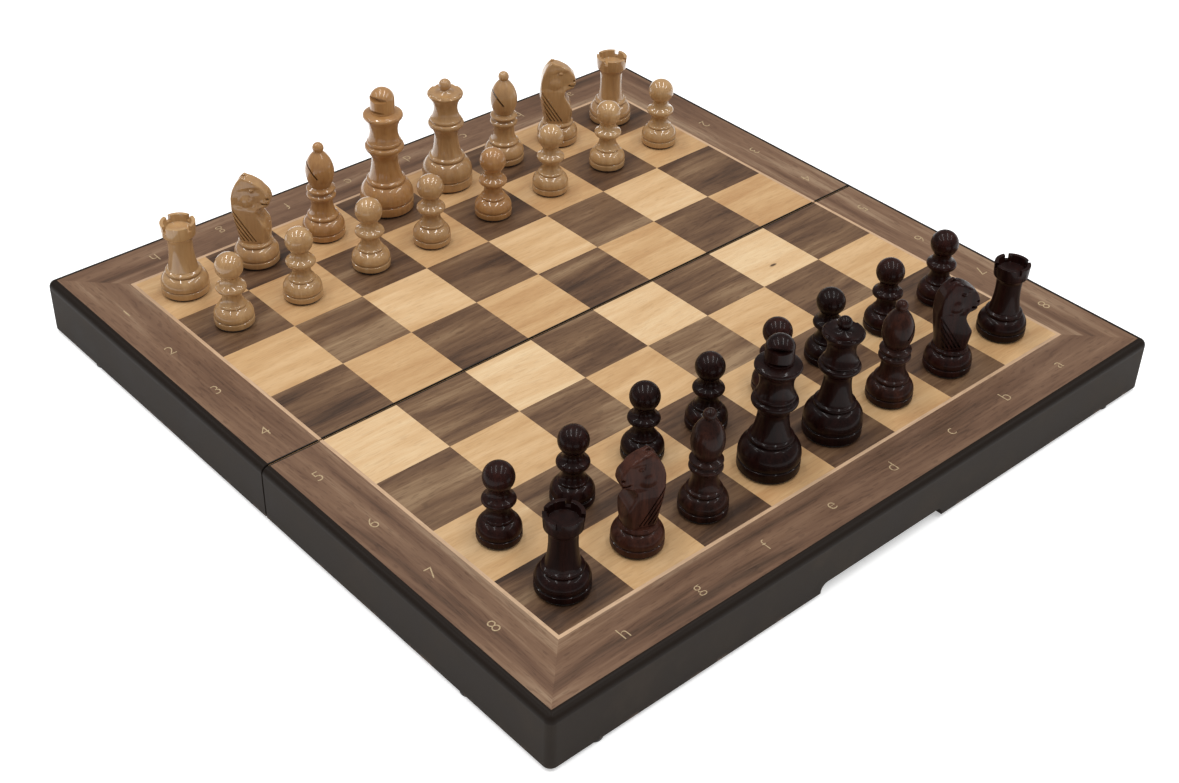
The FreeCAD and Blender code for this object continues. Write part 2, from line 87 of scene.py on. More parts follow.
# %% Place the camera
standpoint = Vector((487.0, 529.2, 519.1)) * MM
looks_at = Vector((45.1, 49.1, 29.5)) * MM
head_tilt = math.radians(1.7)
camera_data = bpy.data.cameras.new("viewer")
camera_data.lens = 54.7
camera_data.sensor_width = 36.0
camera = bpy.data.objects.new("viewer", camera_data)
bpy.context.scene.collection.objects.link(camera)
aim = (looks_at - standpoint).to_track_quat("-Z", "Y")
camera.rotation_mode = "QUATERNION"
camera.rotation_quaternion = aim @ Matrix.Rotation(head_tilt, 3, "Z").to_quaternion()
camera.location = standpoint
bpy.context.scene.camera = camera
print("camera", round((looks_at - standpoint).length, 3), "m from the board")

# %% [markdown]
# ## Small helpers
# Colours are picked as sRGB hex and turned to the linear values the renderer works in.
# One function adds a shader node with its settings and its links; every finish below is
# built with it, so the node trees read like a list.

# %% Colour and node helpers
def linear(code, alpha=1.0):
    """'#rrggbb' as linear light."""
    out = []
    for i in (1, 3, 5):
        c = int(code[i:i + 2], 16) / 255
        out.append(c / 12.92 if c <= 0.04045 else ((c + 0.055) / 1.055) ** 2.4)
    return (*out, alpha)


def add(tree, kind, links=None, stops=(), **settings):
    """Adds one node. Settings are its properties or its unlinked inputs; links are inputs
    joined to other nodes' outputs, by name or by number; stops are a ramp's (place, colour)."""
    n = tree.nodes.new("ShaderNode" + kind)
    for key, value in settings.items():
        if hasattr(n, key):
            setattr(n, key, value)
    for key, value in settings.items():
        if not hasattr(n, key):
            numbered = key.startswith("in") and key[2:].isdigit()
            n.inputs[int(key[2:]) if numbered else key.replace("_", " ")].default_value = value
    for key, source in (links or {}).items():
        tree.links.new(source, n.inputs[key])
    if stops:
        elements = n.color_ramp.elements
        while len(elements) < len(stops):
            elements.new(0.5)
        for element, (position, colour) in zip(elements, stops):
            element.position = position
            element.color = linear(colour) if isinstance(colour, str) else colour
    return n


def start_material(name):
    """An empty material with its surface shader, and where a pattern sits on the piece."""
    m = bpy.data.materials.new(name)
    m.use_nodes = True
    tree = m.node_tree
    tree.nodes.clear()
    out = add(tree, "OutputMaterial")
    skin = add(tree, "BsdfPrincipled")
    tree.links.new(skin.outputs["BSDF"], out.inputs["Surface"])
    place = add(tree, "TexCoord").outputs["Object"]
    return m, tree, skin, place

# %% [markdown]
# ## Wood
# All the wood on this object is made by one recipe with different numbers. Wood is long:
# its fibres run one way, so a noise pattern is squeezed across the grain and stretched
# along it. Broad bands are the growth rings, fine lines are the fibres, and short dark
# dashes are the open pores. Sizes are real: bands a few millimetres wide, fibres half a
# millimetre, pores a little coarser than life so that they still show.
#
# Every square of the board is cut from its own bit of veneer and every man from his own
# stick, so the pattern is shifted, and the tone changed a little, square by square.

# %% One recipe for wood
fold_shade_in, fold_shade_out = 0.45, 0.65      # dark band at the fold: edge paint and painted shade of the gap


def per_square(tree, place):
    """A random colour and value that are the same all over one square, and the square's row."""
    axes = add(tree, "SeparateXYZ", {"Vector": place})
    side = add(tree, "Math", {0: axes.outputs["Y"]}, operation="SIGN")
    y = add(tree, "Math", {0: side.outputs[0], 2: axes.outputs["Y"]}, operation="MULTIPLY_ADD",
            in1=-fold_gap / 2)
    column = add(tree, "Math", {0: axes.outputs["X"]}, operation="DIVIDE", in1=square)
    row = add(tree, "Math", {0: y.outputs[0]}, operation="DIVIDE", in1=square)
    column = add(tree, "Math", {0: column.outputs[0]}, operation="FLOOR")
    row = add(tree, "Math", {0: row.outputs[0]}, operation="FLOOR")
    cell = add(tree, "CombineXYZ", {"X": column.outputs[0], "Y": row.outputs[0]})
    chance = add(tree, "TexWhiteNoise", {"Vector": cell.outputs[0]}, noise_dimensions="3D")
    return chance.outputs["Color"], chance.outputs["Value"], row.outputs[0]


def row_tone_and_shade(tree, row, tones_and_shade):
    """A row's tone: partly the veneer strip its squares are cut from, partly painted shade on the
    rows where the men stand.
    """
    along = add(tree, "MapRange", {"Value": row}, From_Min=-4.5, From_Max=3.5)
    steps = [(number / len(tones_and_shade), (tone, tone, tone, 1)) for number, tone in enumerate(tones_and_shade)]
    ramp = add(tree, "ValToRGB", {"Fac": along.outputs["Result"]}, steps)
    ramp.color_ramp.interpolation = "CONSTANT"
    return ramp.outputs["Color"]


def grain_axes(tree, place, run):
    """The place turned so that X lies along the grain."""
    if run == "across the board":
        return place, None
    axes = add(tree, "SeparateXYZ", {"Vector": place})
    if run == "upright":
        turned = add(tree, "CombineXYZ",
                     {"X": axes.outputs["Z"], "Y": axes.outputs["X"], "Z": axes.outputs["Y"]})
        return turned.outputs[0], None
    # round the border the grain follows each strip, changing over at the mitres
    swapped = add(tree, "CombineXYZ",
                  {"X": axes.outputs["Y"], "Y": axes.outputs["X"], "Z": axes.outputs["Z"]})
    ax = add(tree, "Math", {0: axes.outputs["X"]}, operation="ABSOLUTE")
    ay = add(tree, "Math", {0: axes.outputs["Y"]}, operation="ABSOLUTE")
    ay = add(tree, "Math", {0: ay.outputs[0]}, operation="SUBTRACT", in1=fold_gap / 2)
    on_side = add(tree, "Math", {0: ax.outputs[0], 1: ay.outputs[0]}, operation="GREATER_THAN")
    chosen = add(tree, "Mix", {"Factor": on_side.outputs[0], "A": place, "B": swapped.outputs[0]},
                 data_type="VECTOR")
    return chosen.outputs[1], on_side.outputs[0]


def wood(name, stops, band=3.0, fibre=0.5, length=70.0, waviness=4.0, run="across the board",
         by_square=True, tone_spread=0.16, pore=0.35, roughness=0.42, coat=0.0, relief=0.12,
         knot=None, fold_paint_and_shade=False, shine=0.35, fine_part=0.3, coat_blur=0.09,
         side_lift=0.0, row_tones_and_shade=(0.5,) * 8):
    """Wood with its grain. Sizes are in millimetres."""
    m, tree, skin, place = start_material(name)
    grain, on_side = grain_axes(tree, place, run)
    if by_square:
        shift, chance, row = per_square(tree, place)
        grain = add(tree, "VectorMath", {0: shift, 2: grain}, operation="MULTIPLY_ADD",
                    in1=(0.9, 0.9, 0.9)).outputs[0]
    # slow waves push the bands sideways
    slow = add(tree, "Mapping", {"Vector": grain},
               Scale=(1000 / length / 1.6, 1000 / 28, 1000 / 28))
    wave = add(tree, "TexNoise", {"Vector": slow.outputs[0]}, Scale=1.0, Detail=1.5, Roughness=0.5)
    push = add(tree, "VectorMath", {0: wave.outputs["Color"]}, operation="SUBTRACT",
               in1=(0.5, 0.5, 0.5))
    grain = add(tree, "VectorMath", {0: push.outputs[0], 2: grain}, operation="MULTIPLY_ADD",
                in1=(0.0, waviness * MM * 2, waviness * MM * 2)).outputs[0]

    def lines(width, run_length, detail):
        stretched = add(tree, "Mapping", {"Vector": grain},
                        Scale=(1000 / run_length, 1000 / width / 2, 1000 / width / 2))
        return add(tree, "TexNoise", {"Vector": stretched.outputs[0]}, Scale=1.0, Detail=detail,
                   Roughness=0.62).outputs["Fac"]

    bands = lines(band, length, 3.0)
    fibres = lines(fibre, length / 5, 2.0)
    pores = lines(fibre * 0.75, 5.0, 0.0)
    value = add(tree, "Mix", {"A": bands, "B": fibres}, data_type="FLOAT",
                Factor=fine_part).outputs[0]
    if by_square:
        value = add(tree, "Math", {0: chance, 2: value}, operation="MULTIPLY_ADD",
                    in1=tone_spread).outputs[0]
        value = add(tree, "Math", {0: value}, operation="SUBTRACT", in1=tone_spread / 2).outputs[0]
        value = add(tree, "Math", {0: row_tone_and_shade(tree, row, row_tones_and_shade), 2: value},
                    operation="MULTIPLY_ADD", in1=1.0).outputs[0]
        value = add(tree, "Math", {0: value}, operation="SUBTRACT", in1=0.5).outputs[0]
    if side_lift:
        value = add(tree, "Math", {0: on_side, 2: value}, operation="MULTIPLY_ADD",
                    in1=side_lift).outputs[0]
    colour = add(tree, "ValToRGB", {"Fac": value}, stops).outputs["Color"]
    dash = add(tree, "MapRange", {"Value": pores}, From_Min=0.62, From_Max=0.70).outputs["Result"]
    dash = add(tree, "Math", {0: dash}, operation="MULTIPLY", in1=pore).outputs[0]
    colour = add(tree, "Mix", {"Factor": dash, "A": colour}, data_type="RGBA",
                 blend_type="MULTIPLY", B=linear("#7a5c48")).outputs["Result"]
    if knot:
        away = add(tree, "VectorMath", {0: place}, operation="SUBTRACT", in1=knot)
        away = add(tree, "VectorMath", {0: away.outputs[0]}, operation="MULTIPLY",
                   in1=(0.36, 0.9, 0.0))
        far = add(tree, "VectorMath", {0: away.outputs[0]}, operation="LENGTH").outputs["Value"]
        spot = add(tree, "MapRange", {"Value": far}, From_Min=0.5 * MM, From_Max=1.0 * MM,
                   To_Min=0.9, To_Max=0.0)
        colour = add(tree, "Mix", {"Factor": spot.outputs["Result"], "A": colour},
                     data_type="RGBA", B=linear("#3a2417")).outputs["Result"]
    # a dark band painted on the veneer along the fold: partly black edge paint wrapped over the
    # top, partly painted shade of the fold gap
    if fold_paint_and_shade:
        axes = add(tree, "SeparateXYZ", {"Vector": place})
        off = add(tree, "Math", {0: axes.outputs["Y"]}, operation="ABSOLUTE")
        fold_paint_and_shade_mask = add(tree, "MapRange", {"Value": off.outputs[0]},
                    From_Min=fold_gap / 2 + fold_shade_in * MM,
                    From_Max=fold_gap / 2 + fold_shade_out * MM, To_Min=1.0, To_Max=0.0)
        colour = add(tree, "Mix", {"Factor": fold_paint_and_shade_mask.outputs["Result"], "A": colour},
                     data_type="RGBA", B=linear("#0a0807")).outputs["Result"]
    tree.links.new(colour, skin.inputs["Base Color"])
    rough = add(tree, "MapRange", {"Value": fibres}, From_Min=0.3, From_Max=0.7,
                To_Min=roughness - 0.05, To_Max=roughness + 0.07)
    tree.links.new(rough.outputs["Result"], skin.inputs["Roughness"])
    height = add(tree, "Math", {0: dash, 2: fibres}, operation="MULTIPLY_ADD", in1=-1.5)
    bump = add(tree, "Bump", {"Height": height.outputs[0]}, Strength=relief, Distance=0.15 * MM)
    tree.links.new(bump.outputs["Normal"], skin.inputs["Normal"])
    skin.inputs["IOR"].default_value = 1.5
    skin.inputs["Specular IOR Level"].default_value = shine
    skin.inputs["Coat Weight"].default_value = coat
    skin.inputs["Coat Roughness"].default_value = coat_blur
    return m


# %% [markdown]
# ## Veneers of the board
# Walnut squares and border: a cool greyish brown with darker streaks, sanded flat and
# finished with a satin varnish. Maple squares: pale gold with a faint silky figure. The
# grain of every square runs across the board, from the a file to the h file.

# %% Veneer finishes
knot_place = (-0.0969, 0.0289, surface)
# the row tones are partly each strip's own tone, partly painted shade: rows 1, 2, 7 and 8, where
# the men stand, are darker
walnut_squares = wood(
    "walnut_veneer_satin",
    [(0.3, "#38261a"), (0.43, "#5b412d"), (0.55, "#73573e"), (0.7, "#957a5c")],
    band=6.5, fibre=0.5, length=120, waviness=11, tone_spread=0.05, pore=0.25, roughness=0.44,
    fold_paint_and_shade=True, fine_part=0.2, row_tones_and_shade=(0.46, 0.45, 0.5, 0.47, 0.505, 0.53, 0.47, 0.44))
maple_squares = wood(
    "maple_veneer_satin",
    [(0.22, "#b58b5e"), (0.42, "#c59f71"), (0.6, "#d2af83"), (0.82, "#dfc39a")],
    band=4.5, fibre=0.45, length=70, waviness=7, tone_spread=0.1, pore=0.1, roughness=0.42,
    relief=0.06, knot=knot_place, fold_paint_and_shade=True, fine_part=0.25,
    row_tones_and_shade=(0.38, 0.35, 0.5, 0.4, 0.64, 0.43, 0.42, 0.38))
walnut_border = wood(
    "walnut_border_veneer_satin",
    [(0.3, "#422e1f"), (0.43, "#644835"), (0.55, "#785b45"), (0.7, "#987e65")],
    band=5.5, fibre=0.5, length=160, waviness=8, run="round the border", by_square=False,
    pore=0.25, roughness=0.42, fold_paint_and_shade=True, fine_part=0.2, side_lift=0.045)
maple_strip = wood(
    "maple_inlay_satin",
    [(0.3, "#b29273"), (0.5, "#c2a181"), (0.7, "#ceae8e")],
    band=2.0, fibre=0.5, length=60, waviness=1, run="round the border", by_square=False,
    pore=0.15, roughness=0.4, relief=0.04)
plywood = wood(
    "birch_plywood_bare",
    [(0.3, "#a98557"), (0.5, "#bf9c6e"), (0.7, "#cfae80")],
    band=5.0, fibre=0.6, length=60, waviness=5, by_square=False, pore=0.3, roughness=0.7)
print("veneers ready:", walnut_squares.name, maple_squares.name, walnut_border.name)

# %% [markdown]
# ## Lacquer on the rails
# The sides are sprayed charcoal black and left matt, with the faint unevenness of spray on
# wood. The rounded lip round the top is rubbed smoother and reads blacker and a little
# glossier, so the finish changes with height on the rail. Where hands and tables touch,
# along the foot of the rails, the lacquer is slightly worn and lighter.

# %% Black lacquer
def black_lacquer():
    m, tree, skin, place = start_material("charcoal_lacquer_on_wood")
    axes = add(tree, "SeparateXYZ", {"Vector": place})
    cloud = add(tree, "TexNoise", {"Vector": place}, Scale=38.0, Detail=4.0, Roughness=0.6)
    speck = add(tree, "TexNoise", {"Vector": place}, Scale=900.0, Detail=2.0)
    base = add(tree, "ValToRGB", {"Fac": cloud.outputs["Fac"]},
               [(0.3, "#2b2521"), (0.5, "#2f2924"), (0.72, "#37302a")]).outputs["Color"]
    lip = add(tree, "MapRange", {"Value": axes.outputs["Z"]}, From_Min=surface - 4.4 * MM,
              From_Max=surface - 3.2 * MM)
    colour = add(tree, "Mix", {"Factor": lip.outputs["Result"], "A": base}, data_type="RGBA",
                 B=linear("#231d19")).outputs["Result"]
    foot = add(tree, "MapRange", {"Value": axes.outputs["Z"]}, From_Min=2.4 * MM,
               From_Max=3.6 * MM, To_Min=1.0, To_Max=0.0)
    patch = add(tree, "TexNoise", {"Vector": place}, Scale=140.0, Detail=5.0, Roughness=0.7)
    patch = add(tree, "MapRange", {"Value": patch.outputs["Fac"]}, From_Min=0.52, From_Max=0.62)
    worn = add(tree, "Math", {0: foot.outputs["Result"], 1: patch.outputs["Result"]},
               operation="MULTIPLY")
    colour = add(tree, "Mix", {"Factor": worn.outputs[0], "A": colour}, data_type="RGBA",
                 B=linear("#5d5047")).outputs["Result"]
    tree.links.new(colour, skin.inputs["Base Color"])
    matt = add(tree, "MapRange", {"Value": cloud.outputs["Fac"]}, From_Min=0.3, From_Max=0.7,
               To_Min=0.5, To_Max=0.62)
    rough = add(tree, "Mix", {"Factor": lip.outputs["Result"], "A": matt.outputs["Result"]},
                data_type="FLOAT", B=0.34)
    tree.links.new(rough.outputs[0], skin.inputs["Roughness"])
    mix = add(tree, "Math", {0: speck.outputs["Fac"], 2: cloud.outputs["Fac"]},
              operation="MULTIPLY_ADD", in1=0.35)
    bump = add(tree, "Bump", {"Height": mix.outputs[0]}, Strength=0.18, Distance=0.2 * MM)
    tree.links.new(bump.outputs["Normal"], skin.inputs["Normal"])
    skin.inputs["Specular IOR Level"].default_value = 0.05
    return m


lacquer = black_lacquer()

# %% [markdown]
# ## Felt, brass and steel
# The felt inside and under the men is pressed wool: no weave, only a soft matt nap. The
# hinges are stamped brass, brushed along their length, with cut-steel pins, and the
# closing magnets are nickel plated.

# %% Felt and metals
def felt(name, dark, light):
    m, tree, skin, place = start_material(name)
    nap = add(tree, "TexNoise", {"Vector": place}, Scale=1600.0, Detail=3.0, Roughness=0.7)
    drift = add(tree, "TexNoise", {"Vector": place}, Scale=60.0, Detail=3.0)
    both = add(tree, "Mix", {"A": nap.outputs["Fac"], "B": drift.outputs["Fac"]},
               data_type="FLOAT", Factor=0.35)
    colour = add(tree, "ValToRGB", {"Fac": both.outputs[0]}, [(0.35, dark), (0.65, light)])
    tree.links.new(colour.outputs["Color"], skin.inputs["Base Color"])
    bump = add(tree, "Bump", {"Height": nap.outputs["Fac"]}, Strength=0.6, Distance=0.3 * MM)
    tree.links.new(bump.outputs["Normal"], skin.inputs["Normal"])
    skin.inputs["Roughness"].default_value = 0.95
    skin.inputs["Sheen Weight"].default_value = 0.35
    skin.inputs["Sheen Roughness"].default_value = 0.5
    return m


def metal(name, dull, bright, roughness, brush_mm=0.12):
    m, tree, skin, place = start_material(name)
    long_way = add(tree, "Mapping", {"Vector": place},
                   Scale=(40, 1000 / brush_mm / 2, 1000 / brush_mm / 2))
    brush = add(tree, "TexNoise", {"Vector": long_way.outputs[0]}, Scale=1.0, Detail=2.0)
    stain = add(tree, "TexNoise", {"Vector": place}, Scale=220.0, Detail=4.0)
    colour = add(tree, "ValToRGB", {"Fac": stain.outputs["Fac"]}, [(0.35, dull), (0.62, bright)])
    tree.links.new(colour.outputs["Color"], skin.inputs["Base Color"])
    rough = add(tree, "MapRange", {"Value": brush.outputs["Fac"]}, From_Min=0.3, From_Max=0.7,
                To_Min=roughness - 0.07, To_Max=roughness + 0.1)
    tree.links.new(rough.outputs["Result"], skin.inputs["Roughness"])
    bump = add(tree, "Bump", {"Height": brush.outputs["Fac"]}, Strength=0.15, Distance=0.05 * MM)
    tree.links.new(bump.outputs["Normal"], skin.inputs["Normal"])
    skin.inputs["Metallic"].default_value = 1.0
    return m


green_felt = felt("green_wool_felt", "#12271b", "#1f3d2b")
dark_felt = felt("dark_grey_wool_felt", "#1c1a19", "#2d2a28")
hinge_brass = metal("brushed_brass", "#8c6a33", "#c29a55", 0.34)
screw_brass = metal("turned_brass", "#9a7638", "#cfa862", 0.28)
pin_steel = metal("drawn_steel_wire", "#7c7a77", "#a3a19d", 0.3)
magnet_nickel = metal("nickel_plate", "#a39f96", "#c9c5bb", 0.2)
print("felt and metals ready")

# %% [markdown]
# ## Finishing the frame's own parts
# The rails, lids, veneers and hinges already have the right shape, so each keeps its mesh
# and only gets its finish.

# %% Give the board its finishes
board_finish = {
    "outer_rail": lacquer, "side_rails": lacquer, "fold_rail": lacquer, "lid_panel": plywood,
    "walnut_border": walnut_border, "maple_stringing": maple_strip, "dark_squares": walnut_squares,
    "light_squares": maple_squares, "felt_lining": green_felt, "closing_magnets": magnet_nickel,
    "hinge_screws": screw_brass, "felt_feet": dark_felt, "hinge_leaves": hinge_brass,
}
for half in ("white", "black"):
    for part, finish in board_finish.items():
        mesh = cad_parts[f"{half}_{part}"].data
        mesh.materials.clear()
        mesh.materials.append(finish)
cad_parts["hinge_pins"].data.materials.clear()
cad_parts["hinge_pins"].data.materials.append(pin_steel)
print("finished", 2 * len(board_finish) + 1, "parts of the board")

# %% [markdown]
# ## Turning a man
# A chessman is turned on a lathe from a square stick, so it is modelled the same way: its
# profile is drawn from the middle of the foot to the tip as one line of points, pushed out
# one after another from a single vertex, and then spun round the upright axis. Sharp
# corners get a tiny round first, because a real edge is sanded and catches the light.
#
# A profile is a list of steps: (radius, height) is a straight cut to that point, and
# (middle radius, middle height, radius, height) is a hollow or a bead passing through a
# middle point.

# %% Profiles
def through(start, middle, end, count=9):
    """Points along the circle's arc from start through middle to end."""
    (ax, ay), (bx, by), (cx, cy) = start, middle, end
    d = 2 * (ax * (by - cy) + bx * (cy - ay) + cx * (ay - by))
    a2, b2, c2 = ax * ax + ay * ay, bx * bx + by * by, cx * cx + cy * cy
    ux = (a2 * (by - cy) + b2 * (cy - ay) + c2 * (ay - by)) / d
    uy = (a2 * (cx - bx) + b2 * (ax - cx) + c2 * (bx - ax)) / d
    radius = math.hypot(ax - ux, ay - uy)
    first = math.atan2(ay - uy, ax - ux)
    mid = (math.atan2(by - uy, bx - ux) - first) % math.tau
    last = (math.atan2(cy - uy, cx - ux) - first) % math.tau
    if mid > last:
        last -= math.tau
    count = max(count, int(abs(last) / math.radians(9)) + 1)
    angles = [first + last * (i + 1) / count for i in range(count)]
    return [(ux + radius * math.cos(t), uy + radius * math.sin(t)) for t in angles]


RIM_PART = 0.32
foot_radius = {"pawn": 9.7, "rook": 11.7, "knight": 11.3, "bishop": 10.9, "queen": 13.4,
               "king": 13.9}


def foot_steps(r, shoulder, height):
    """The heavy foot that every man shares: a rim, a shallow groove and a big ogee."""
    rim = RIM_PART * height
    return [(r - 0.6, 0.0), (r, 0.6), (r, rim + 0.1), (r - 0.7, rim + 0.4), (r - 0.7, rim + 0.8),
            (r - 0.1, rim + 1.1), (r - 0.5, 0.72 * height, shoulder, height)]


def ball(neck, r, centre):
    """A ball on a neck, up to its pole."""
    low = -math.asin(math.sqrt(1 - (neck / r) ** 2))
    angles = [low + (math.pi / 2 - low) * i / 18 for i in range(19)]
    return [(r * math.cos(t), centre + r * math.sin(t)) for t in angles]


def points_of(steps):
    """All the steps as one list of points, starting at the middle of the foot."""
    points = [(0.0, 0.0)]
    for step in steps:
        if len(step) == 2:
            points.append(step)
        else:
            points += through(points[-1], step[:2], step[2:])
    if points[-1][0] > 0.01:
        points.append((0.0, points[-1][1]))
    points[-1] = (0.0, points[-1][1])
    return points


# %% [markdown]
# The lathe itself. Only corners that turn by more than 25 degrees are softened, so the
# sampled curves stay as they are. After the spin the start and end seam and the poles are
# merged, and the normals are made to face outwards.

# %% The lathe
SOFT = 0.17


def only(piece, choose, kind="verts"):
    """In edit mode, selects just the vertices, edges or faces that choose() accepts."""
    bpy.ops.mesh.select_mode(type={"verts": "VERT", "edges": "EDGE", "faces": "FACE"}[kind])
    bpy.ops.mesh.select_all(action="DESELECT")
    bpy.ops.object.mode_set(mode="OBJECT")
    mesh = piece.data
    items = {"verts": mesh.vertices, "edges": mesh.edges, "faces": mesh.polygons}[kind]
    for item in items:
        item.select = bool(choose(item))
    bpy.ops.object.mode_set(mode="EDIT")


def draw_line(name, points, plane="XZ"):
    """A line of points in millimetres, pushed out one by one from a single vertex."""
    bpy.ops.object.select_all(action="DESELECT")
    bpy.ops.mesh.primitive_plane_add(size=MM)
    piece = bpy.context.object
    piece.name = piece.data.name = name
    bpy.ops.object.mode_set(mode="EDIT")
    bpy.ops.mesh.select_all(action="SELECT")
    bpy.ops.mesh.merge(type="CENTER")
    spots = [Vector((a, 0, b) if plane == "XZ" else (0, a, b)) * MM for a, b in points]
    bpy.ops.transform.translate(value=spots[0])
    for before, after in zip(spots, spots[1:]):
        bpy.ops.mesh.extrude_region_move(TRANSFORM_OT_translate={"value": after - before})
    return piece


def turned(name, steps, around=64):
    """A turned solid from its profile."""
    points = points_of(steps)
    piece = draw_line(name, points)
    sharp = []
    for before, here, after in zip(points, points[1:], points[2:]):
        go = Vector(here) - Vector(before)
        on = Vector(after) - Vector(here)
        sharp.append(go.angle(on) > math.radians(25) and here[0] > 0.5)
    corners = [Vector((p[0], 0, p[1])) * MM for p, s in zip(points[1:], sharp) if s]
    only(piece, lambda v: any((v.co - c).length < 0.002 * MM for c in corners))
    bpy.ops.mesh.bevel(offset=SOFT * MM, offset_type="OFFSET", segments=3, affect="VERTICES",
                       clamp_overlap=True)
    bpy.ops.mesh.select_all(action="SELECT")
    bpy.ops.mesh.spin(steps=around, angle=math.tau, center=(0, 0, 0), axis=(0, 0, 1))
    bpy.ops.mesh.select_all(action="SELECT")
    bpy.ops.mesh.remove_doubles(threshold=0.002 * MM)
    bpy.ops.mesh.normals_make_consistent(inside=False)
    bpy.ops.object.mode_set(mode="OBJECT")
    return piece


def pick(*pieces):
    """Selects just these pieces; the first one is active."""
    bpy.ops.object.select_all(action="DESELECT")
    for piece in pieces:
        piece.select_set(True)
    bpy.context.view_layer.objects.active = pieces[0]


def use(piece, kind, **settings):
    """Adds a modifier with its settings and applies it."""
    pick(piece)
    modifier = piece.modifiers.new(kind.lower(), kind)
    for key, value in settings.items():
        setattr(modifier, key, value)
    bpy.ops.object.modifier_apply(modifier=modifier.name)


def combine(piece, tool, operation):
    """Cuts, joins or keeps the overlap of two solids; the tool is used up."""
    use(piece, "BOOLEAN", object=tool, operation=operation, solver="EXACT")
    bpy.data.objects.remove(tool, do_unlink=True)
    return piece


def bar(size, place, tilt=0.0, spin=0.0):
    """A bar to cut with: size and place in millimetres, tilted about Y, then turned about Z."""
    bpy.ops.object.select_all(action="DESELECT")
    bpy.ops.mesh.primitive_cube_add(size=1)
    tool = bpy.context.object
    tool.scale = Vector(size) * MM
    bpy.ops.object.transform_apply(location=False, rotation=False, scale=True)
    tool.rotation_euler = (0, tilt, 0)
    bpy.ops.object.transform_apply(location=False, rotation=True, scale=False)
    tool.location = Vector(place) * MM
    bpy.ops.object.transform_apply(location=True, rotation=False, scale=False)
    tool.rotation_euler = (0, 0, spin)
    bpy.ops.object.transform_apply(location=False, rotation=True, scale=False)
    return tool


# %% [markdown]
# ## The pawn and the rook
# The pawn is a foot, a hollow stem, a thick collar and a ball. The rook is a straight tower
# with a flared top, hollowed inside, and cut across twice with a saw to leave four
# battlements.

# %% Pawn and rook
pawn_ball = ball(4.3, 6.8, 31.0)
pawn = turned("pawn_model", foot_steps(foot_radius["pawn"], 6.9, 9.4) + [
    (6.3, 9.7), (6.6, 10.4, 6.1, 11.1), (4.8, 13.6, 4.6, 16.0), (5.2, 17.4, 6.7, 18.2),
    (7.3, 19.6, 6.6, 21.0), (5.2, 21.9), (4.4, 23.6, *pawn_ball[0])] + pawn_ball[1:])
rook = turned("rook_model", foot_steps(foot_radius["rook"], 8.9, 10.0) + [
    (8.2, 10.3), (8.9, 11.3, 8.4, 12.2), (7.4, 12.6), (6.3, 19.0, 6.1, 27.8),
    (6.6, 30.0, 8.1, 31.6), (8.5, 38.2), (6.7, 38.2), (6.3, 34.4)])
for quarter in (0, 1):
    combine(rook, bar((24, 2.3, 6), (0, 0, 38.6), spin=quarter * math.pi / 2), "DIFFERENCE")
print("pawn", len(pawn.data.vertices), "points, rook", len(rook.data.vertices))

# %% [markdown]
# ## The bishop and the queen
# The bishop's mitre is an egg with a small ball on top and one sloping saw cut. The queen
# has a waist between two flared beads and a coronet whose rim is scooped by a round cutter
# nine times.

# %% Bishop and queen
bishop_ball = ball(2.3, 2.9, 49.2)
bishop = turned("bishop_model", foot_steps(foot_radius["bishop"], 8.2, 9.8) + [
    (7.6, 10.1), (8.1, 11.1, 7.6, 12.0), (6.9, 12.4), (5.8, 15.8, 5.6, 19.6),
    (6.0, 21.2, 7.1, 22.0), (7.4, 22.9, 7.0, 23.8), (6.2, 24.3), (6.0, 25.0, 6.4, 25.6),
    (7.1, 25.9), (7.3, 26.6, 6.9, 27.2), (4.9, 28.0),
    (7.3, 36.6, *bishop_ball[0])] + bishop_ball[1:])
combine(bishop, bar((0.9, 30, 19), (6.3, 0, 42.2), tilt=math.radians(38)), "DIFFERENCE")

queen_ball = ball(2.4, 3.3, 57.2)
queen = turned("queen_model", foot_steps(foot_radius["queen"], 10.0, 14.4) + [
    (9.1, 14.7), (9.6, 15.7, 9.1, 16.7), (8.2, 17.1), (6.8, 22.5, 6.2, 28.5),
    (7.0, 31.6, 9.0, 34.2), (9.5, 35.4, 9.0, 36.6), (8.0, 37.0), (8.4, 37.9, 7.9, 38.8),
    (6.3, 44.2, 9.1, 51.2), (9.5, 52.4), (8.6, 53.6),
    (5.2, 53.3, *queen_ball[0])] + queen_ball[1:], around=72)
for scoop in range(9):
    turn = math.tau * scoop / 9
    bpy.ops.object.select_all(action="DESELECT")
    spot = (9.6 * MM * math.cos(turn), 9.6 * MM * math.sin(turn), 54.3 * MM)
    bpy.ops.mesh.primitive_uv_sphere_add(segments=24, ring_count=12, radius=1.9 * MM,
                                         location=spot)
    combine(queen, bpy.context.object, "DIFFERENCE")
print("bishop", len(bishop.data.vertices), "points, queen", len(queen.data.vertices))

# %% [markdown]
# ## The king
# Under the cross the king is turned like the queen. The cross is blunt: a domed stub, kept
# only where it falls inside a cross-shaped outline, so its arms are rounded on one face
# and flat on the other.

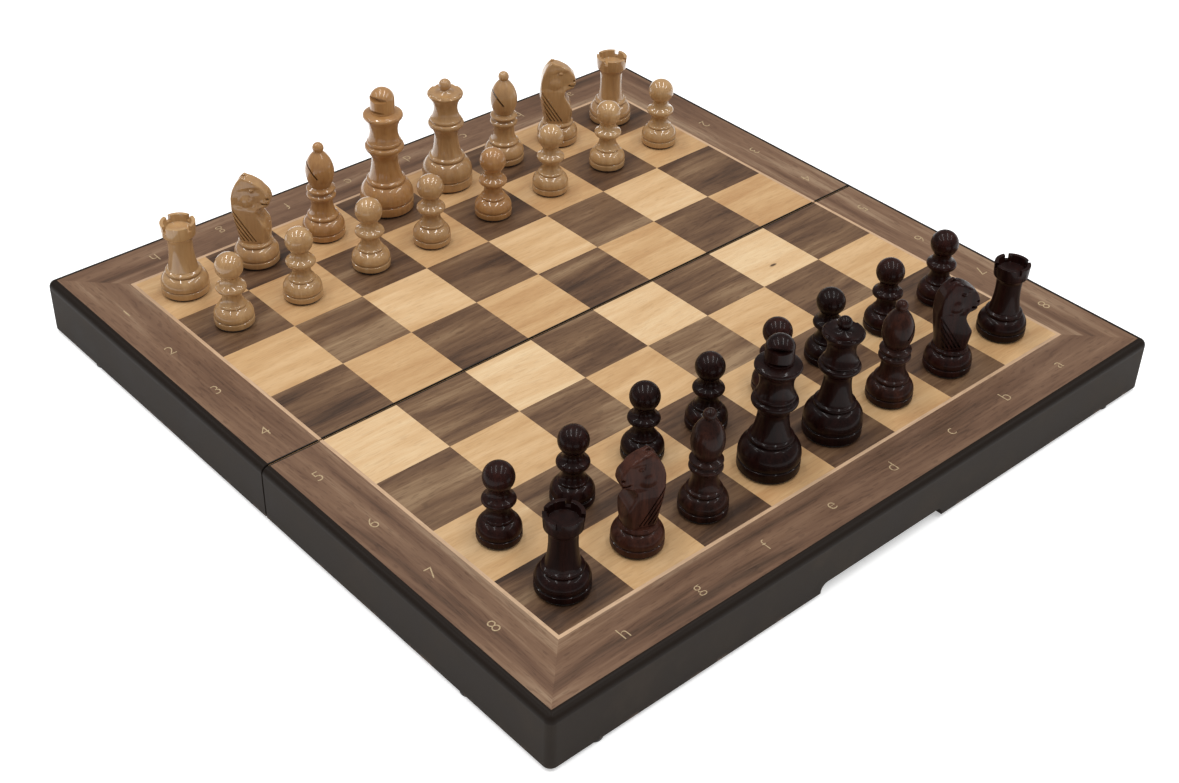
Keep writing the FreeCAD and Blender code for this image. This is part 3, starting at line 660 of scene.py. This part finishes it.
# %% King
king = turned("king_model", foot_steps(foot_radius["king"], 10.6, 14.8) + [
    (9.7, 15.1), (10.2, 16.2, 9.7, 17.3), (8.9, 17.7), (7.4, 23.5, 6.8, 29.4),
    (7.8, 31.6, 9.7, 34.2), (10.2, 35.5, 9.7, 36.8), (8.5, 37.2), (9.0, 38.3, 8.4, 39.4),
    (7.3, 44.6, 9.8, 52.0), (10.3, 53.2, 9.8, 54.2), (6.9, 55.2)], around=72)
outline = [(6.9, 54.5), (6.9, 55.4), (4.4, 56.6), (6.9, 57.8), (6.9, 62.0), (3.4, 63.0),
           (3.4, 64.0), (5.6, 65.2), (5.6, 69.0)]
outline += [(-y, z) for y, z in reversed(outline)]
cross = draw_line("cross_outline", outline, plane="YZ")
bpy.ops.mesh.select_all(action="SELECT")
bpy.ops.mesh.edge_face_add()
bpy.ops.transform.translate(value=(-9 * MM, 0, 0))
bpy.ops.mesh.extrude_region_move(TRANSFORM_OT_translate={"value": (18 * MM, 0, 0)})
bpy.ops.mesh.select_all(action="SELECT")
bpy.ops.mesh.normals_make_consistent(inside=False)
bpy.ops.object.mode_set(mode="OBJECT")
stub = turned("king_stub", [(6.3, 0.0), (6.3, 63.4), (3.96, 66.86, 0.0, 68.2)])
combine(stub, cross, "INTERSECT")
combine(king, stub, "UNION")
print("king", len(king.data.vertices), "points")

# %% [markdown]
# ## The knight
# Only the knight's foot is turned. The head is sawn from a thick board to its side
# outline, then carved: so the outline is drawn and thickened, each height is widened to
# what the wood is there, and the back is rounded by keeping only what lies inside a turned
# sleeve. A voxel remesh followed by smoothing rounds the edges as sandpaper would. The
# face is sanded lightly once more, and the mane is cut last so that it stays crisp.

# %% Knight: the sawn and rounded head
side_view = [
    (7.4, 11.0), (7.4, 12.0), (8.0, 15.0), (8.0, 18.5), (7.0, 22.4), (5.5, 24.8), (4.3, 27.0),
    (3.5, 29.2), (3.7, 30.8), (4.8, 31.7), (6.4, 31.7), (8.0, 32.2), (9.3, 33.4), (9.8, 35.4),
    (9.6, 37.8), (8.7, 40.2), (6.9, 42.2), (4.7, 44.0), (2.4, 45.4), (0.3, 46.4), (-1.8, 46.9),
    (-3.2, 48.0), (-4.8, 46.4), (-6.8, 43.8), (-8.4, 40.4), (-9.4, 36.4), (-9.9, 32.0),
    (-10.0, 28.6), (-9.7, 25.0), (-9.2, 20.6), (-8.4, 16.0), (-7.6, 12.0), (-7.6, 11.0)]
half_width = [(11, 6.2), (17, 6.4), (27, 5.9), (33, 5.4), (38, 5.1), (43, 4.4), (48, 2.9)]


def wide_at(height):
    """Half the thickness of the head at a height, read between the listed heights."""
    for (z0, w0), (z1, w1) in zip(half_width, half_width[1:]):
        if height <= z1:
            return w0 + (w1 - w0) * (height - z0) / (z1 - z0)
    return half_width[-1][1]


head = draw_line("knight_head", side_view)
bpy.ops.mesh.select_all(action="SELECT")
bpy.ops.mesh.edge_face_add()
bpy.ops.transform.translate(value=(0, -MM, 0))
bpy.ops.mesh.extrude_region_move(TRANSFORM_OT_translate={"value": (0, 2 * MM, 0)})
for z in (14, 18, 23, 27, 31, 34.5, 37.6, 40.6, 43.5, 46):
    bpy.ops.mesh.select_all(action="SELECT")
    bpy.ops.mesh.bisect(plane_co=(0, 0, z * MM), plane_no=(0, 0, 1))
bpy.ops.object.mode_set(mode="OBJECT")
heights = sorted({round(v.co.z / MM, 2) for v in head.data.vertices})
bpy.ops.object.mode_set(mode="EDIT")
for z in heights:
    only(head, lambda v: abs(v.co.z / MM - z) < 0.006)
    bpy.ops.transform.resize(value=(1, wide_at(z), 1), center_override=(0, 0, z * MM))
for from_x, narrow in ((3.0, 0.88), (6.0, 0.78)):
    only(head, lambda v: v.co.x > from_x * MM and 31.5 < v.co.z / MM < 44.5)
    bpy.ops.transform.resize(value=(1, narrow, 1), center_override=(0, 0, 36 * MM))
bpy.ops.mesh.select_all(action="SELECT")
bpy.ops.mesh.normals_make_consistent(inside=False)
bpy.ops.object.mode_set(mode="OBJECT")
sleeve = turned("knight_sleeve", [(7.6, 10.5), (7.9, 12.4), (8.0, 14.0), (8.8, 19.0), (9.7, 24.0),
                                  (10.4, 30.0), (10.4, 51.0)])
combine(head, sleeve, "INTERSECT")
print("sawn head", len(head.data.vertices), "points")

# %% [markdown]
# Cheek and muzzle are low swellings: squashed balls let half way into the sides. Joining
# them before the remesh lets the smoothing run them into the neck.

# %% Knight: cheeks, muzzle and sanding
def punch(place, size, segments=20, rings=12):
    """A squashed ball, to press into the wood or to let into it."""
    bpy.ops.object.select_all(action="DESELECT")
    bpy.ops.mesh.primitive_uv_sphere_add(segments=segments, ring_count=rings, radius=MM)
    tool = bpy.context.object
    tool.scale = size
    tool.location = Vector(place) * MM
    bpy.ops.object.transform_apply(location=True, rotation=False, scale=True)
    return tool


def sand(piece, grit, strokes):
    """Rounds every edge: the piece is rebuilt in grains of this size, then smoothed."""
    use(piece, "REMESH", mode="VOXEL", voxel_size=grit * MM)
    use(piece, "SMOOTH", factor=0.5, iterations=strokes)


for side in (-1, 1):
    cheek = (-2.0, 3.6 * side, 34.6), (4.0, 2.0, 4.2)
    muzzle = (7.0, 2.4 * side, 34.8), (2.5, 1.9, 2.4)
    for place, size in (cheek, muzzle):
        combine(head, punch(place, size, 24, 14), "UNION")
sand(head, 0.42, 14)
print("sanded head", len(head.data.polygons), "faces")

# %% [markdown]
# The chisel work: a round-bottomed socket with the eye left standing in it, a nostril, the
# line of the mouth, a notch that parts the ears, and slanting cuts down the neck for the
# mane. All the tools of one kind are joined, so the head is cut only a few times.

# %% Knight: the carving
def gather(tools):
    """Several pieces as one object."""
    pick(*tools)
    bpy.ops.object.join()
    return bpy.context.object


cuts = [bar((7.0, 1.7, 6.0), (-4.2, 0, 48.9), tilt=math.radians(-16))]
for side in (-1, 1):
    cuts.append(punch((1.2, 4.9 * side, 41.4), (2.2, 1.7, 1.35)))
    cuts.append(punch((8.7, 3.3 * side, 36.8), (0.8, 1.5, 0.6)))
    cuts.append(bar((5.4, 4.4, 0.8), (8.2, 4.2 * side, 33.9), tilt=math.radians(8)))
combine(head, gather(cuts), "DIFFERENCE")
eyes = gather([punch((1.3, 3.7 * side, 41.3), (1.1, 0.85, 0.85)) for side in (-1, 1)])
combine(head, eyes, "UNION")
sand(head, 0.3, 3)
slope = math.radians(33)
mane_front, mane_step, mane_back, mane_foot = 2.2, 1.9, -9.4, 13.7
mane_wide, mane_across, neck_side = 0.7, 2.2, 6.0
mane = []
for side in (-1, 1):
    for i in range(6):
        low_end = mane_front - mane_step * i
        long = (low_end - mane_back) / math.sin(slope)
        middle = (low_end - long / 2 * math.sin(slope), neck_side * side,
                  mane_foot + long / 2 * math.cos(slope))
        mane.append(bar((mane_wide, mane_across, long), middle, tilt=-slope))
combine(head, gather(mane), "DIFFERENCE")
knight = turned("knight_model", foot_steps(foot_radius["knight"], 8.6, 9.8) + [
    (8.0, 10.1), (8.7, 11.0, 8.2, 11.9), (7.9, 12.4)])
combine(knight, head, "UNION")
print("knight", len(knight.data.polygons), "faces")

# %% [markdown]
# ## Finishes of the men
# One side is pale boxwood, sealed with a satin varnish that lets the fine, straight grain
# show. The other is the same wood stained nearly black under a much thinner varnish; where
# the stain took less well the wood glows red-brown. On both, the grain runs up the man.

# %% Wood of the men
boxwood = wood(
    "boxwood_satin_varnish",
    [(0.2, "#99724a"), (0.5, "#ad8658"), (0.8, "#bf9b6d")],
    band=2.4, fibre=0.5, length=60, waviness=3, run="upright", tone_spread=0.2, pore=0.06,
    roughness=0.42, coat=1.0, relief=0.04, shine=0.25, coat_blur=0.045)
boxwood_warm = wood(
    "boxwood_warm_satin_varnish",
    [(0.2, "#946638"), (0.5, "#a77a49"), (0.8, "#ba905c")],
    band=2.4, fibre=0.5, length=60, waviness=3, run="upright", tone_spread=0.2, pore=0.06,
    roughness=0.42, coat=1.0, relief=0.04, shine=0.25, coat_blur=0.045)
stained_dark = wood(
    "boxwood_stained_near_black",
    [(0.3, "#120504"), (0.5, "#1e0c09"), (0.7, "#2e140f")],
    band=2.0, fibre=0.4, length=60, waviness=2, run="upright", tone_spread=0.25, pore=0.3,
    roughness=0.38, coat=0.12, relief=0.06, shine=0.08, coat_blur=0.07)
stained_reddish = wood(
    "boxwood_stained_red_brown",
    [(0.3, "#1c0e0a"), (0.5, "#2d1711"), (0.7, "#43251b")],
    band=2.0, fibre=0.4, length=60, waviness=2, run="upright", tone_spread=0.25, pore=0.3,
    roughness=0.38, coat=0.12, relief=0.06, shine=0.08, coat_blur=0.07)
men_finish = {"white": (boxwood, "boxwood"), "black": (stained_dark, "stained_dark")}
warm_men = ("white_king", "white_bishop_f", "white_pawn_d")
reddish_men = ("black_bishop_f", "black_knight_g", "black_bishop_c")
odd_finish = {name: (boxwood_warm, "boxwood_warm") for name in warm_men}
odd_finish.update({name: (stained_reddish, "stained_reddish") for name in reddish_men})
print("men in", len(men_finish) + 2, "finishes")

# %% [markdown]
# ## Felt under the men, and setting them out
# Each man has a disc of felt glued under it: a thin puck with its upper and lower rims
# rounded, a millimetre smaller than the wood. The men are then copied to their squares,
# each copy with its own mesh, turned a little as a hand leaves them. The place goes into
# the mesh, so that the grain on every man is cut from a different part of the pattern.

# %% Set out the men
models = {"pawn": pawn, "rook": rook, "knight": knight, "bishop": bishop, "queen": queen,
          "king": king}
felt_inset = 1.0
felts = {}
for kind, model in models.items():
    r = foot_radius[kind] - felt_inset
    felts[kind] = turned(f"{kind}_felt_model", [(r - 0.1, 0.0), (r, 0.3), (r, felt_thick)])
    for piece in (model, felts[kind]):
        pick(piece)
        bpy.ops.object.shade_smooth_by_angle(angle=math.radians(34))

turned_by = {
    "white_rook_a": 25, "white_rook_h": 10, "black_rook_a": 60, "black_rook_h": 35,
    "white_knight_b": 142, "white_knight_g": 132, "black_knight_b": 150, "black_knight_g": -20,
    "white_bishop_c": -35, "white_bishop_f": -40, "black_bishop_c": 165, "black_bishop_f": 200,
    "white_king": -72, "black_king": -50,
}


def stand(model, name, turn, x, y, z, finish):
    """A copy of a model with its own mesh, turned and put in its place."""
    pick(model)
    bpy.ops.object.duplicate(linked=False)
    copy = bpy.context.object
    copy.name = copy.data.name = name
    copy.rotation_euler = (0, 0, math.radians(turn))
    copy.location = (x, y, z)
    bpy.ops.object.transform_apply(location=True, rotation=True, scale=True)
    copy.data.materials.clear()
    copy.data.materials.append(finish)
    return copy


back_row = dict(zip("abcdefgh", ("rook", "knight", "bishop", "queen", "king", "bishop",
                                 "knight", "rook")))
rows = {"white": (-3.5, -2.5), "black": (3.5, 2.5)}
for colour, (home, front) in rows.items():
    for number, letter in enumerate("abcdefgh"):
        for kind, row in ((back_row[letter], home), ("pawn", front)):
            node = f"{colour}_{kind}" if kind in ("king", "queen") else f"{colour}_{kind}_{letter}"
            low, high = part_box(node)
            x, y = (low.x + high.x) / 2, (low.y + high.y) / 2
            finish, finish_slot = odd_finish.get(node, men_finish[colour])
            turn = turned_by.get(node, 37 * number + 11 * row)
            man = stand(models[kind], node + "_turned", turn, x, y, surface + felt_thick * MM,
                        finish)
            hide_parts(node)
            disc = stand(felts[kind], node + "_felt", turn, x, y, surface, dark_felt)
            for piece, piece_slot in ((man, finish_slot), (disc, "dark_felt")):
                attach(piece, node + "_man")
for piece in list(models.values()) + list(felts.values()):
    bpy.data.objects.remove(piece, do_unlink=True)
print("set out 32 men, each on its disc of felt")

# %% [markdown]
# ## The coordinates
# Thin pale figures are printed on the border beside every row and file. They start as text
# with the stroke thinned, become a mesh, are put in place, and are joined into one piece
# for each half, because each half carries its own print.

# %% Letters and figures
def screen_print():
    m, tree, skin, place = start_material("cream_screen_print")
    speck = add(tree, "TexNoise", {"Vector": place}, Scale=1400.0, Detail=3.0)
    colour = add(tree, "ValToRGB", {"Fac": speck.outputs["Fac"]},
                 [(0.35, "#9a8262"), (0.6, "#b9a27e")])
    tree.links.new(colour.outputs["Color"], skin.inputs["Base Color"])
    rough = add(tree, "MapRange", {"Value": speck.outputs["Fac"]}, To_Min=0.4, To_Max=0.6)
    tree.links.new(rough.outputs["Result"], skin.inputs["Roughness"])
    bump = add(tree, "Bump", {"Height": speck.outputs["Fac"]}, Strength=0.2, Distance=0.05 * MM)
    tree.links.new(bump.outputs["Normal"], skin.inputs["Normal"])
    return m


print_ink = screen_print()
reach = 174.0 * MM


def printed(body, x, y, upside_down):
    """One letter or figure as a thin solid, centred on its place."""
    bpy.ops.object.select_all(action="DESELECT")
    bpy.ops.object.text_add()
    sign = bpy.context.object
    sign.data.body = body
    sign.data.size = 9.4 * MM
    sign.data.align_x = "CENTER"
    sign.data.align_y = "CENTER"
    sign.data.offset = -0.16 * MM
    sign.data.extrude = 0.03 * MM
    sign.data.resolution_u = 6
    bpy.ops.object.convert(target="MESH")
    sign = bpy.context.object
    sign.rotation_euler = (0, 0, math.pi if upside_down else 0)
    sign.location = (x, y, surface + 0.03 * MM)
    bpy.ops.object.transform_apply(location=True, rotation=True, scale=True)
    return sign


signs = {"white": [], "black": []}
for number in range(8):
    along = (number - 3.5) * square
    row = along + math.copysign(fold_gap / 2, along)
    half = "white" if number < 4 else "black"
    signs[half].append(printed(str(number + 1), reach, row, True))
    signs[half].append(printed(str(number + 1), -reach, row, False))
    signs["white"].append(printed("abcdefgh"[number], along, -reach, False))
    signs["black"].append(printed("abcdefgh"[number], along, reach, True))
for half, group in signs.items():
    joined = gather(group)
    joined.name = joined.data.name = f"{half}_coordinates"
    joined.data.materials.clear()
    joined.data.materials.append(print_ink)
    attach(joined, f"{half}_half")
    print(joined.name, len(joined.data.polygons), "faces")

# %% [markdown]
# ## Floor and light
# The set is shown on a plain white sweep under four long softboxes hung side by side, which
# leave short parallel glints on every ball and bead, with an even white surround filling
# the shadows. The light is balanced so that a white card lying flat reads white, and the
# colours of the veneers come out as they were mixed.

# %% Floor, lights and surround
bpy.ops.object.select_all(action="DESELECT")
bpy.ops.mesh.primitive_plane_add(size=14, location=(0, 0, 0))
floor = bpy.context.object
floor.name = "floor"
m, tree, skin, place = start_material("white_paper_sweep")
cloud = add(tree, "TexNoise", {"Vector": place}, Scale=3.0, Detail=2.0)
colour = add(tree, "ValToRGB", {"Fac": cloud.outputs["Fac"]}, [(0.3, "#fbfbfb"), (0.7, "#fefefe")])
tree.links.new(colour.outputs["Color"], skin.inputs["Base Color"])
skin.inputs["Roughness"].default_value = 0.9
skin.inputs["Specular IOR Level"].default_value = 0.1
skin.inputs["Emission Color"].default_value = (1.0, 1.0, 1.0, 1.0)
skin.inputs["Emission Strength"].default_value = 0.42
floor.data.materials.append(m)
floor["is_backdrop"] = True


def softbox(name, place, width, length, power):
    """A long softbox hung flat, its length along the viewer's line of sight."""
    data = bpy.data.lights.new(name, "AREA")
    data.shape = "RECTANGLE"
    data.size = width
    data.size_y = length
    data.energy = power
    lamp = bpy.data.objects.new(name, data)
    lamp.location = place
    lamp.rotation_euler = (0, 0, math.radians(-43))
    bpy.context.scene.collection.objects.link(lamp)


side_by_side = Vector((-0.73, 0.68, 0.0))
hung_at = Vector((0, 0, 2.0))
strip_width, strip_length, strip_power = 0.1, 2.4, 18.6
for number, offset in enumerate((-1.9, -0.6, 0.6, 1.9)):
    softbox(f"strip_{number + 1}", side_by_side * offset + hung_at, strip_width, strip_length,
            strip_power)
print("four softboxes and a white surround")
world = bpy.data.worlds.new("white_surround")
world.use_nodes = True
world.node_tree.nodes["Background"].inputs["Color"].default_value = (1.0, 1.0, 1.0, 1.0)
world.node_tree.nodes["Background"].inputs["Strength"].default_value = 0.32
bpy.context.scene.world = world
bpy.context.scene.view_settings.view_transform = "Standard"

# %% [markdown]
# ## The set's box
# The box of the finished set is printed.

# %% Sizes and finish
low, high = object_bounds()
print("set box", tuple(low), tuple(high))
